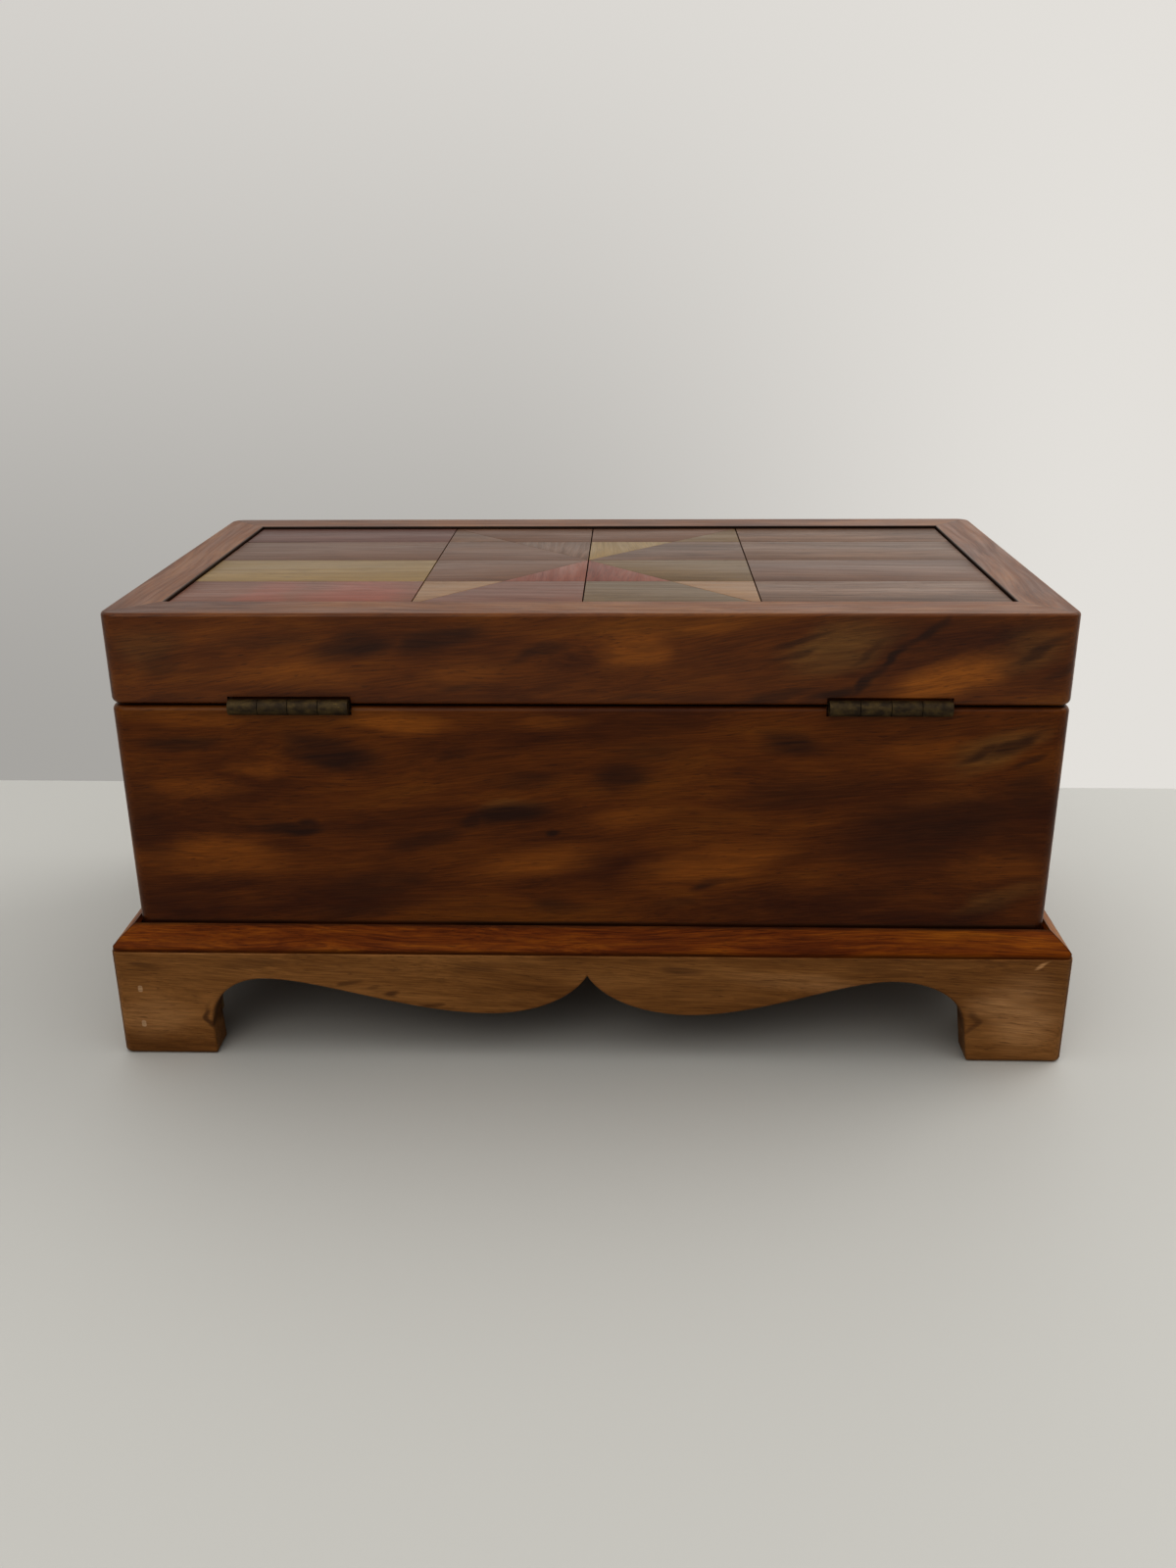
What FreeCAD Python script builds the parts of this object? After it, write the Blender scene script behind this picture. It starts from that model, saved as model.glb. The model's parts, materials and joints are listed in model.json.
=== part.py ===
"""Hinged puzzle box in solid wood, on a plinth with bracket feet and a parquetry lid.

Row frame, millimetres: the floor is z = 0, +X is the box's right as seen from its front, the front
faces -Y and the hinges are at +Y. The origin is the centre of the footprint.

The case is four mitred walls, and the lid four mitred rails round a panel of inlaid woods, let in a
little below the rails. A length of moulding along the front slides sideways. Behind it a peg works a
slat inside the front wall, whose hooks catch two brass keepers under the lid.
"""

import os

import FreeCAD
import Part

Vector = FreeCAD.Vector

# ---- Driving dimensions ------------------------------------------------------------------------
WIDTH = 254.0  # case and lid, along X
DEPTH = 133.0  # case and lid, along Y
HEIGHT = 128.0  # floor to the top of the lid's rails
APRON_TOP = 32.5  # top of the bracket-foot frame
MOULDING_TOP = 39.0
SEAM = 103.0  # middle of the gap between case and lid, and the height of the hinge axis
SEAM_GAP = 0.4
WALL = 13.5  # case walls and lid rails
CORNER_R = 4.0  # upright corners of case and lid
TOP_ARRIS = 1.0  # top outer edge of the lid
RECESS_ARRIS = 0.3  # top inner edge of the lid's rails
SEAM_ARRIS = 1.6  # the two outer edges at the seam

# ---- Plinth ------------------------------------------------------------------------------------
OVERHANG = 6.8  # apron face beyond the case wall
APRON_T = 9.0
APRON_CORNER_R = 2.6
APRON_ARRIS = 0.7
FOOT_R = 1.5  # inner lower corner of each foot
MOULDING_OUT = 6.3  # moulding face beyond the case wall, a little inside the apron's
BLOCK = 14.0  # side of a corner glue block
BLOCK_LIFT = 2.0  # glue blocks stay off the floor
NAIL_PLACES = ((126.5, 21.1), (126.8, 9.8))  # on the back apron, as (x, z)
NAIL_R = 0.5
NAIL_LENGTH = 15.0
NAIL_SUNK = 2.0
FILLER = (1.3, 2.1)  # width and height of the filled slots over the nails

# ---- Floor, front lining and lid panel ----------------------------------------------------------
BOARD_T = 6.0
REBATE = 4.0  # how far floor, front lining and panel core go into the walls
CORE_T = 3.2
INLAY_T = 3.0
PANEL_RECESS = 0.8  # inlay below the top of the rails
PANEL_GAP = 0.35  # shadow gap between inlay and rails

# ---- Hinges ------------------------------------------------------------------------------------
HINGE_MIDDLES = {"left": -79.5, "right": 78.5}
HINGE_LENGTH = 32.0
KNUCKLES = 4
BARREL_R = 2.1
PIN_R = 0.85
PIN_PLAY = 0.05
AXIS_OUT = 1.0  # hinge axis beyond the back face
LEAF_T = 1.0
LEAF_REACH = 10.0  # leaf into the wood, from the back face
NOTCH = 2.55  # half height of the notch cut for the barrel
SCREW_R = 1.0
SCREW_HEAD_R = 2.0
SCREW_LENGTH = 8.0
SCREW_OFFSET = 9.0  # screws each side of a hinge's middle

# ---- Sliding moulding and the hidden latch --------------------------------------------------------
SLIDE_TRAVEL = 38.0
LATCH_TRAVEL = 6.0
PLAY = 0.15  # clearance of the wooden slides
TONGUE = (-95.0, 80.0)  # dovetail on the back of the sliding moulding, along X
TONGUE_DEEP = 3.6
TONGUE_MIDDLE = 35.8
TONGUE_HALF = (0.9, 1.7)  # half height at its neck and at its back
SLAT_T = 3.5
SLAT_X = (-112.0, 62.0)
SLAT_TOP = 99.7
SLAT_BAR = 12.0  # height of the slat's long bar
SLAT_LEG = 16.0  # width of its upright leg, at the left end
HOOK_X = (-52.0, 46.0)  # left side of each hook's entry
HOOK_ENTRY = 9.6
HOOK_DEEP = 9.0
HOOK_LIP = 4.0
PEG_X = -107.0
PEG_SIZE = (5.0, 4.0)  # along X and Z
PEG_Z = 36.0

# ---- Worked out ----------------------------------------------------------------------------------
HALF_W = WIDTH / 2
HALF_D = DEPTH / 2
CASE_TOP = SEAM - SEAM_GAP / 2
LID_BOTTOM = SEAM + SEAM_GAP / 2
INNER_W = HALF_W - WALL  # half width of the inside
INNER_D = HALF_D - WALL
FLOOR_TOP = APRON_TOP + BOARD_T
INLAY_TOP = HEIGHT - PANEL_RECESS
CORE_TOP = INLAY_TOP - INLAY_T
BASE_W = HALF_W + OVERHANG
BASE_D = HALF_D + OVERHANG
AXIS_Y = HALF_D + AXIS_OUT
LINING_Y = -INNER_D - REBATE  # front face of the front lining
SLAT_Y = (LINING_Y - 0.2 - SLAT_T, LINING_Y - 0.2)
POCKET_Y = SLAT_Y[0] - 0.2

parts = {}


def box(x0, x1, y0, y1, z0, z1):
    return Part.makeBox(x1 - x0, y1 - y0, z1 - z0, Vector(x0, y0, z0))


def centred_box(half_x, half_y, z0, z1):
    return box(-half_x, half_x, -half_y, half_y, z0, z1)


def cylinder_x(x0, x1, y, z, radius):
    return Part.makeCylinder(radius, x1 - x0, Vector(x0, y, z), Vector(1, 0, 0))


def rounded_block(half_x, half_y, z0, z1, corner, top=0.0, bottom=0.0):
    """A block with round upright corners, and its top and bottom outer edges rounded too."""
    block = centred_box(half_x, half_y, z0, z1)
    upright = [e for e in block.Edges if abs(e.BoundBox.ZLength - (z1 - z0)) < 1e-6]
    block = block.makeFillet(corner, upright)
    for radius, z in ((top, z1), (bottom, z0)):
        if radius:
            level = [e for e in block.Edges if abs(e.BoundBox.ZMin - z) + abs(e.BoundBox.ZMax - z) < 1e-5]
            block = block.makeFillet(radius, level)
    return block


def side_wedge(side):
    """The part of space that one side of a frame takes, between 45 degree mitres at its corners."""
    far = 30.0
    reach = HALF_W - HALF_D  # where the mitres of an end meet, on the X axis
    front = [
        (-HALF_W - far, -HALF_D - far),
        (HALF_W + far, -HALF_D - far),
        (reach, 0),
        (-reach, 0),
    ]
    right = [(HALF_W + far, -HALF_D - far), (HALF_W + far, HALF_D + far), (reach, 0)]
    corners = {
        "front": front,
        "back": [(x, -y) for x, y in front],
        "right": right,
        "left": [(-x, y) for x, y in right],
    }[side]
    return prism([(x, y, -1.0) for x, y in corners], Vector(0, 0, HEIGHT + 2))


def prism(points, along):
    wire = Part.makePolygon([Vector(*p) for p in points + points[:1]])
    return Part.Face(wire).extrude(along)


# ---- Hinges: four knuckles on a pin, two leaves let into the wood at the seam -----------------------
def knuckle_spans(middle):
    """The four knuckles of one hinge, from +X to -X; the case leaf has the first and third."""
    pitch = HINGE_LENGTH / KNUCKLES
    ease = 0.08
    start = middle + HINGE_LENGTH / 2
    return [(start - (i + 1) * pitch + ease, start - i * pitch - ease) for i in range(KNUCKLES)]


def screw_places(middle):
    return [(middle - SCREW_OFFSET, AXIS_Y - 7.0), (middle + SCREW_OFFSET, AXIS_Y - 7.0)]


def screw_hole(x, y, z, down, length=SCREW_LENGTH, radius=SCREW_R, head=SCREW_HEAD_R):
    """The space of a countersunk screw with its head's face at z, driven down (-1) or up (+1)."""
    tip = 2.0 * radius
    blunt = 0.15
    axis = Vector(0, 0, down)
    cone = Part.makeCone(head, radius, head - radius, Vector(x, y, z), axis)
    shank = Part.makeCylinder(radius, length - tip, Vector(x, y, z), axis)
    point = Part.makeCone(radius, blunt, tip, Vector(x, y, z + down * (length - tip)), axis)
    return cone.fuse([shank, point])


def countersunk_screw(x, y, z, down, length=SCREW_LENGTH, radius=SCREW_R, head=SCREW_HEAD_R):
    """The screw itself, with a slot across its head."""
    slot_half = 0.22
    slot_deep = 0.45
    z_low = min(z, z + down * slot_deep)
    slot = box(x - slot_half, x + slot_half, y - head - 1, y + head + 1, z_low, z_low + slot_deep)
    return screw_hole(x, y, z, down, length, radius, head).cut(slot).removeSplitter()


def hinge_leaf(middle, on_lid):
    spans = knuckle_spans(middle)
    own = spans[1::2] if on_lid else spans[0::2]
    others = spans[0::2] if on_lid else spans[1::2]
    z0, z1 = (LID_BOTTOM, LID_BOTTOM + LEAF_T) if on_lid else (CASE_TOP - LEAF_T, CASE_TOP)
    x0 = middle - HINGE_LENGTH / 2
    leaf = box(x0, x0 + HINGE_LENGTH, HALF_D - LEAF_REACH, AXIS_Y, z0, z1)
    for a, b in others:
        leaf = leaf.cut(cylinder_x(a - 0.16, b + 0.16, AXIS_Y, SEAM, BARREL_R + 0.2))
    for a, b in own:
        leaf = leaf.fuse(cylinder_x(a, b, AXIS_Y, SEAM, BARREL_R))
    bore = PIN_R + (PIN_PLAY if on_lid else 0.0)
    leaf = leaf.cut(cylinder_x(x0 - 1, x0 + HINGE_LENGTH + 1, AXIS_Y, SEAM, bore))
    for x, y in screw_places(middle):
        leaf = leaf.cut(screw_hole(x, y, *leaf_screw_drive(on_lid)))
    return leaf.removeSplitter()


def leaf_screw_drive(on_lid):
    """Height of a leaf screw's face, and which way it is driven."""
    return (LID_BOTTOM, 1) if on_lid else (CASE_TOP, -1)


def hinge_pin(middle):
    return cylinder_x(middle - HINGE_LENGTH / 2, middle + HINGE_LENGTH / 2, AXIS_Y, SEAM, PIN_R)


def cut_for_hinges(wood, on_lid):
    """Leaf mortises, barrel notches and screw holes in the back wall or the lid's back rail."""
    for middle in HINGE_MIDDLES.values():
        x0 = middle - HINGE_LENGTH / 2
        x1 = middle + HINGE_LENGTH / 2
        z0, z1 = (SEAM, LID_BOTTOM + LEAF_T) if on_lid else (CASE_TOP - LEAF_T, SEAM)
        wood = wood.cut(box(x0, x1, HALF_D - LEAF_REACH, HALF_D + 1, z0, z1))
        notch = box(x0 - 0.4, x1 + 0.4, AXIS_Y - NOTCH, HALF_D + 1, SEAM - NOTCH, SEAM + NOTCH)
        wood = wood.cut(notch)
        for x, y in screw_places(middle):
            wood = wood.cut(screw_hole(x, y, *leaf_screw_drive(on_lid)))
    return wood


# ---- Case: four mitred walls, a rebated floor and a lining inside the front wall ---------------------
def slat_outline():
    """Corners of the latch slat, as (x, z): a leg at the left end, a long bar, two hook notches."""
    left, right = SLAT_X
    bar_bottom = SLAT_TOP - SLAT_BAR
    foot = PEG_Z - PEG_SIZE[1] / 2 - 0.1
    corners = [(left, foot), (left + SLAT_LEG, foot), (left + SLAT_LEG, bar_bottom), (right, bar_bottom)]
    corners.append((right, SLAT_TOP))
    for x in sorted(HOOK_X, reverse=True):
        floor = SLAT_TOP - HOOK_DEEP
        lip = SLAT_TOP - HOOK_LIP
        corners += [
            (x + HOOK_ENTRY, SLAT_TOP),
            (x + HOOK_ENTRY, floor),
            (x - LATCH_TRAVEL, floor),
            (x - LATCH_TRAVEL, lip),
            (x, lip),
            (x, SLAT_TOP),
        ]
    corners.append((left, SLAT_TOP))
    return corners


def latch_pocket():
    """The room for the slat in the front wall, with its travel towards +X."""
    left, right = SLAT_X
    clear = 0.3
    bar = box(
        left - clear,
        right + LATCH_TRAVEL + clear,
        POCKET_Y,
        LINING_Y,
        SLAT_TOP - SLAT_BAR - clear,
        SLAT_TOP + clear,
    )
    leg = box(
        left - clear,
        left + SLAT_LEG + LATCH_TRAVEL + clear,
        POCKET_Y,
        LINING_Y,
        PEG_Z - PEG_SIZE[1] / 2 - 2 * clear,
        SLAT_TOP - SLAT_BAR,
    )
    pocket = bar.fuse(leg)
    for x in HOOK_X:
        entry = box(x - 0.2, x + HOOK_ENTRY + 0.2, POCKET_Y, LINING_Y, SLAT_TOP, CASE_TOP + 1)
        pocket = pocket.fuse(entry)
    half_x, half_z = PEG_SIZE[0] / 2 + clear, PEG_SIZE[1] / 2 + clear
    slot = box(
        PEG_X - half_x,
        PEG_X + half_x + LATCH_TRAVEL,
        -HALF_D - 1,
        LINING_Y,
        PEG_Z - half_z,
        PEG_Z + half_z,
    )
    return pocket.fuse(slot)


def tongue(ease):
    """The dovetail along the back of the sliding moulding, or its groove when eased."""
    neck, back = TONGUE_HALF
    y_face = -HALF_D - 2 * PLAY
    y_back = -HALF_D + TONGUE_DEEP + ease
    profile = [
        (0, y_face, TONGUE_MIDDLE - neck - ease),
        (0, y_back, TONGUE_MIDDLE - back - ease),
        (0, y_back, TONGUE_MIDDLE + back + ease),
        (0, y_face, TONGUE_MIDDLE + neck + ease),
    ]
    x0, x1 = TONGUE
    travel = SLIDE_TRAVEL + PLAY if ease else 0.0
    start = x0 - ease
    return prism([(start, y, z) for _, y, z in profile], Vector(x1 + travel + ease - start, 0, 0))


def make_case():
    block = rounded_block(HALF_W, HALF_D, APRON_TOP, CASE_TOP, CORNER_R, top=SEAM_ARRIS)
    block = block.cut(centred_box(INNER_W, INNER_D, APRON_TOP - 1, CASE_TOP + 1))
    block = block.cut(centred_box(INNER_W + REBATE, INNER_D + REBATE, APRON_TOP - 1, FLOOR_TOP))
    walls = {side: block.common(side_wedge(side)) for side in ("front", "back", "left", "right")}
    lining = box(-INNER_W, INNER_W, LINING_Y, -INNER_D, FLOOR_TOP, CASE_TOP)
    front = walls["front"].cut(lining)
    front = front.cut(latch_pocket()).cut(tongue(PLAY))
    parts["front_wall"] = front.removeSplitter()
    parts["front_lining"] = lining
    parts["back_wall"] = cut_for_hinges(walls["back"], on_lid=False)
    parts["left_wall"] = walls["left"]
    parts["right_wall"] = walls["right"]
    parts["floor_board"] = centred_box(INNER_W + REBATE, INNER_D + REBATE, APRON_TOP, FLOOR_TOP)


# ---- Plinth: a moulding over a mitred frame of scalloped aprons with bracket feet ---------------------
def bezier(*poles):
    curve = Part.BezierCurve()
    curve.setPoles([Vector(x, 0, z) for x, z in poles])
    return curve.toShape()


def line(a, b):
    return Part.makeLine(Vector(a[0], 0, a[1]), Vector(b[0], 0, b[1]))


def scallop(foot_in, foot_top, arch, drop, cusp_z, side):
    """Half of an apron's lower edge, from the floor inside a foot to the cusp in the middle.

    foot_in is the foot's inner corner on the floor. foot_top, arch and drop are the top of the
    foot's straight edge, the crown of the arch and the lowest point of the drop, as (x, z).
    """
    ax, az = arch
    dx, dz = drop
    fx, fz = foot_top
    reach = ax - dx
    points = [
        [(foot_in + FOOT_R, 0.0), (foot_in, 0.0), (foot_in, FOOT_R)],
        [(foot_in, FOOT_R), (fx, fz)],
        [(fx, fz), (fx - 1.0, fz + 0.6 * (az - fz)), (ax + 0.55 * (fx - ax), az), (ax, az)],
        [(ax, az), (ax - 0.25 * reach, az), (dx + 0.36 * reach, dz), (dx, dz)],
        [(dx, dz), (0.55 * dx, dz), (CUSP_LEAN, dz + 0.38 * (cusp_z - dz)), (0.0, cusp_z)],
    ]
    flipped = [[(side * x, z) for x, z in span] for span in points]
    return [line(*span) if len(span) == 2 else bezier(*span) for span in flipped]


def apron_plate(half_length, left_half, right_half, cusp_z):
    """An apron lying along X with its outer face on y = 0 and its thickness towards +Y."""
    edges = [
        line((-left_half[0] - FOOT_R, 0), (-half_length, 0)),
        line((-half_length, 0), (-half_length, APRON_TOP)),
        line((-half_length, APRON_TOP), (half_length, APRON_TOP)),
        line((half_length, APRON_TOP), (half_length, 0)),
        line((half_length, 0), (right_half[0] + FOOT_R, 0)),
    ]
    edges += scallop(*left_half, cusp_z, -1) + scallop(*right_half, cusp_z, 1)
    wire = Part.Wire(Part.__sortEdges__(edges))
    plate = Part.Face(wire).extrude(Vector(0, APRON_T, 0))
    return ease_lower_edge(plate, half_length)


def ease_lower_edge(plate, half_length):
    """Rounds the outer arris of the scalloped edge."""
    lower = [
        e
        for e in plate.Edges
        if e.BoundBox.YMax < 1e-6
        and e.BoundBox.ZMin < APRON_TOP - 1
        and max(abs(e.BoundBox.XMin), abs(e.BoundBox.XMax)) < half_length - 1
    ]
    return plate.makeFillet(APRON_ARRIS, lower)


# Each half: foot's inner corner, top of its straight edge, crown of the arch, lowest point of the drop.
# The back was sawn by eye, so its two halves differ.
LONG_HALF = (106.5, (105.8, 11.5), (88.0, 24.6), (28.5, 13.9))
BACK_HALF_RIGHT = (106.4, (106.9, 11.0), (91.0, 24.4), (28.0, 13.9))
BACK_HALF_LEFT = (106.8, (105.5, 12.0), (85.0, 25.1), (28.8, 13.9))
SHORT_HALF = (46.8, (46.2, 10.5), (33.5, 24.0), (13.5, 14.9))
LONG_CUSP = 26.1
SHORT_CUSP = 24.9
CUSP_LEAN = 4.4  # how far out the curve still is a little below the cusp


def make_aprons():
    shell = rounded_block(BASE_W, BASE_D, 0.0, APRON_TOP, APRON_CORNER_R, top=0.4, bottom=1.2)
    plates = {
        "front": (apron_plate(BASE_W, LONG_HALF, LONG_HALF, LONG_CUSP), 0, BASE_D),
        "back": (apron_plate(BASE_W, BACK_HALF_RIGHT, BACK_HALF_LEFT, LONG_CUSP), 180, BASE_D),
        "left": (apron_plate(BASE_D, SHORT_HALF, SHORT_HALF, SHORT_CUSP), -90, BASE_W),
        "right": (apron_plate(BASE_D, SHORT_HALF, SHORT_HALF, SHORT_CUSP), 90, BASE_W),
    }
    for side, (plate, turn, out) in plates.items():
        plate.translate(Vector(0, -out, 0))
        plate.rotate(Vector(0, 0, 0), Vector(0, 0, 1), turn)
        parts[f"{side}_apron"] = plate.common(shell).common(side_wedge(side)).removeSplitter()
    inner_x = BASE_W - APRON_T
    inner_y = BASE_D - APRON_T
    blocks = []
    for sx in (-1, 1):
        for sy in (-1, 1):
            x0, x1 = sorted((sx * inner_x, sx * (inner_x - BLOCK)))
            y0, y1 = sorted((sy * inner_y, sy * (inner_y - BLOCK)))
            blocks.append(box(x0, x1, y0, y1, BLOCK_LIFT, APRON_TOP))
    parts["corner_glue_blocks"] = Part.makeCompound(blocks)


def make_nails():
    """Two brads that pin the mitre of the back right foot, set under filler in slots left by the punch."""
    nails = []
    fillers = []
    for x, z in NAIL_PLACES:
        head_y = BASE_D - NAIL_SUNK
        nail = Part.makeCylinder(NAIL_R, NAIL_LENGTH, Vector(x, head_y, z), Vector(0, -1, 0))
        half_x, half_z = FILLER[0] / 2, FILLER[1] / 2
        filler = box(x - half_x, x + half_x, head_y, BASE_D, z - half_z, z + half_z)
        across = [e for e in filler.Edges if e.BoundBox.YLength > NAIL_SUNK / 2]
        filler = filler.makeFillet(0.8 * half_x, across)
        for apron in ("back_apron", "right_apron"):
            parts[apron] = parts[apron].cut(nail).cut(filler)
        nails.append(nail)
        fillers.append(filler)
    parts["mitre_nails"] = Part.makeCompound(nails)
    parts["nail_filler"] = Part.makeCompound(fillers)


def moulding_profile(off=0.0, lift=0.0):
    """Section of the moulding as (out from the wall, height): a swelled chamfer over a short fillet.

    Its top edge stands a little off the wall. off and lift give the sliding length its clearances.
    """
    out = MOULDING_OUT
    z0 = APRON_TOP
    top = (0.8, MOULDING_TOP)
    shoulder = (out, z0 + 0.9)
    straight = [top, (off, MOULDING_TOP - 0.9), (off, z0 + lift), (out, z0 + lift), shoulder]
    curve = [shoulder, (out - 0.2, z0 + 1.9), (out - 2.2, z0 + 3.7), top]
    return straight, curve


def moulding_run(half_length, off=0.0, lift=0.0):
    """A straight run of the moulding along X on the front face of the case."""
    straight, curve = moulding_profile(off, lift)
    edges = [
        Part.makeLine(Vector(0, -a[0], a[1]), Vector(0, -b[0], b[1]))
        for a, b in zip(straight, straight[1:])
    ]
    arc = Part.BezierCurve()
    arc.setPoles([Vector(0, -out, z) for out, z in curve])
    edges.append(arc.toShape())
    face = Part.Face(Part.Wire(Part.__sortEdges__(edges)))
    run = face.extrude(Vector(2 * half_length, 0, 0))
    run.translate(Vector(-half_length, 0, 0))
    return run


def make_mouldings():
    """Three fixed lengths and the sliding one, which takes in both front corners."""
    corner = rounded_block(
        HALF_W + MOULDING_OUT, HALF_D + MOULDING_OUT, APRON_TOP, MOULDING_TOP, 1.5
    )
    long_half = HALF_W + MOULDING_OUT
    short_half = HALF_D + MOULDING_OUT
    behind = box(-200, 200, -HALF_D, 200, 0, HEIGHT)
    ahead = box(-200, 200, -200, -HALF_D - PLAY, 0, HEIGHT)
    runs = {}
    for side, half, turn, out in (
        ("front", long_half, 0, HALF_D),
        ("back", long_half, 180, HALF_D),
        ("left", short_half, -90, HALF_W),
        ("right", short_half, 90, HALF_W),
    ):
        for name, off, lift in ((side, 0.0, 0.0), (side + "_sliding", PLAY, PLAY)):
            run = moulding_run(half, off, lift)
            run.translate(Vector(0, -out, 0))
            run.rotate(Vector(0, 0, 0), Vector(0, 0, 1), turn)
            runs[name] = run.common(side_wedge(side)).common(corner)
    parts["back_moulding"] = runs["back"]
    parts["left_moulding"] = runs["left"].common(behind)
    parts["right_moulding"] = runs["right"].common(behind)
    returns = [runs[f"{side}_sliding"].common(ahead) for side in ("left", "right")]
    strip = runs["front_sliding"].common(ahead).fuse(returns).fuse(tongue(0.0))
    parts["sliding_moulding"] = strip.removeSplitter()


# ---- Hidden latch: a slat with two hooks, worked by a peg behind the sliding moulding -----------------
def make_latch():
    y0, y1 = SLAT_Y
    slat = prism([(x, y0, z) for x, z in slat_outline()], Vector(0, y1 - y0, 0))
    half_x, half_z = PEG_SIZE[0] / 2, PEG_SIZE[1] / 2
    tenon = box(PEG_X - 1.5, PEG_X + 1.5, y0, y1, PEG_Z - 1.2, PEG_Z + 1.2)
    head = box(PEG_X - half_x, PEG_X + half_x, -HALF_D + 0.4, y0, PEG_Z - half_z, PEG_Z + half_z)
    nick = box(PEG_X - 0.5, PEG_X + 0.5, -HALF_D, -HALF_D + 1.2, PEG_Z - half_z, PEG_Z + half_z)
    parts["latch_slat"] = slat.cut(tenon)
    parts["latch_peg"] = head.fuse(tenon).cut(nick).removeSplitter()


def make_keepers():
    """Two brass hooks on plates let into the underside of the lid's front rail, with their screws."""
    y0, y1 = LINING_Y - 2.9, LINING_Y - 0.6
    plate_t = 1.2
    keepers = []
    screws = []
    rail = parts["lid_front_rail"]
    for x in HOOK_X:
        leg = (x + HOOK_ENTRY - 3.0, x + HOOK_ENTRY - 0.6)
        toe = x + 0.6
        z_toe = SLAT_TOP - HOOK_DEEP + 0.5
        hook = box(*leg, y0, y1, z_toe, LID_BOTTOM + plate_t)
        hook = hook.fuse(box(toe, leg[1], y0, y1, z_toe, SLAT_TOP - HOOK_LIP - 0.5))
        plate = box(x - 6.0, x + HOOK_ENTRY + 8.0, y0 - 1.8, y1 + 1.8, LID_BOTTOM, LID_BOTTOM + plate_t)
        hook = hook.fuse(plate)
        rail = rail.cut(plate)
        middle = (y0 + y1) / 2
        for screw_x in (x - 3.2, x + HOOK_ENTRY + 5.2):
            place = (screw_x, middle, LID_BOTTOM, 1)
            size = {"length": 7.0, "radius": 0.8, "head": 1.7}
            hook = hook.cut(screw_hole(*place, **size))
            rail = rail.cut(screw_hole(*place, **size))
            screws.append(countersunk_screw(*place, **size))
        keepers.append(hook.removeSplitter())
    parts["lid_front_rail"] = rail
    parts["lid_keepers"] = Part.makeCompound(keepers)
    parts["keeper_screws"] = Part.makeCompound(screws)


# ---- Lid: four mitred rails, a core in their groove, and inlay in four rows ---------------------------
def make_lid_frame():
    block = rounded_block(
        HALF_W, HALF_D, LID_BOTTOM, HEIGHT, CORNER_R, top=TOP_ARRIS, bottom=SEAM_ARRIS
    )
    block = block.cut(centred_box(INNER_W, INNER_D, LID_BOTTOM - 1, HEIGHT + 1))
    recess_edges = [
        e
        for e in block.Edges
        if e.BoundBox.ZMin > HEIGHT - 1e-4
        and max(abs(e.BoundBox.XMin), abs(e.BoundBox.XMax)) < INNER_W + 1e-4
        and max(abs(e.BoundBox.YMin), abs(e.BoundBox.YMax)) < INNER_D + 1e-4
    ]
    block = block.makeFillet(RECESS_ARRIS, recess_edges)
    groove = centred_box(INNER_W + REBATE, INNER_D + REBATE, CORE_TOP - CORE_T, CORE_TOP)
    block = block.cut(groove)
    for side in ("front", "back", "left", "right"):
        parts[f"lid_{side}_rail"] = block.common(side_wedge(side))
    parts["lid_back_rail"] = cut_for_hinges(parts["lid_back_rail"], on_lid=True)
    parts["lid_panel_core"] = groove.copy()


# Rows of inlay from the back of the panel to its front, and the uprights of its middle square.
ROW_EDGES = (53.0, 25.8, -2.6, -30.4, -53.0)
SQUARE = (-46.6, 47.2)  # sides of the middle square, along X
CENTRE = (1.2, -2.6)  # where its diagonals cross
ROW_SEAM = 0.16  # open seams between pieces
UPRIGHT_SEAM = 0.3
DIAGONAL_SEAM = 0.1


def inlay(name, corners):
    """One flat piece of inlay, its corners as (x, y) in order round it."""
    z0 = INLAY_TOP - INLAY_T
    parts[name] = prism([(x, y, z0) for x, y in corners], Vector(0, 0, INLAY_T))


def make_strips():
    """The plain strips at each end of the panel, four to a side."""
    x_end = INNER_W - PANEL_GAP
    y_end = INNER_D - PANEL_GAP
    shrink = 0.7  # one strip at the right end has shrunk, and its seam has opened at the tip
    open_length = 21.0
    for side, x0, x1 in (
        ("right", SQUARE[1] + UPRIGHT_SEAM / 2, x_end),
        ("left", -x_end, SQUARE[0] - UPRIGHT_SEAM / 2),
    ):
        for row, (back, front) in enumerate(zip(ROW_EDGES, ROW_EDGES[1:]), start=1):
            y1 = min(back - ROW_SEAM / 2, y_end)
            y0 = max(front + ROW_SEAM / 2, -y_end)
            corners = [(x0, y0), (x1, y0), (x1, y1), (x0, y1)]
            if side == "right" and row == 4:
                corners = [(x0, y0), (x1, y0), (x1, y1 - shrink), (x1 - open_length, y1 - shrink / 2)]
                corners += [(x1 - open_length - 4, y1), (x0, y1)]
            inlay(f"inlay_{side}_strip_{row}", corners)


def diagonal_x(y, side):
    """Where a diagonal of the middle square crosses height y, on its left (0) or right (1) half."""
    y_far = ROW_EDGES[0] if y >= CENTRE[1] else ROW_EDGES[-1]
    share = (y - CENTRE[1]) / (y_far - CENTRE[1])
    return CENTRE[0] + share * (SQUARE[side] - CENTRE[0])


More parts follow.
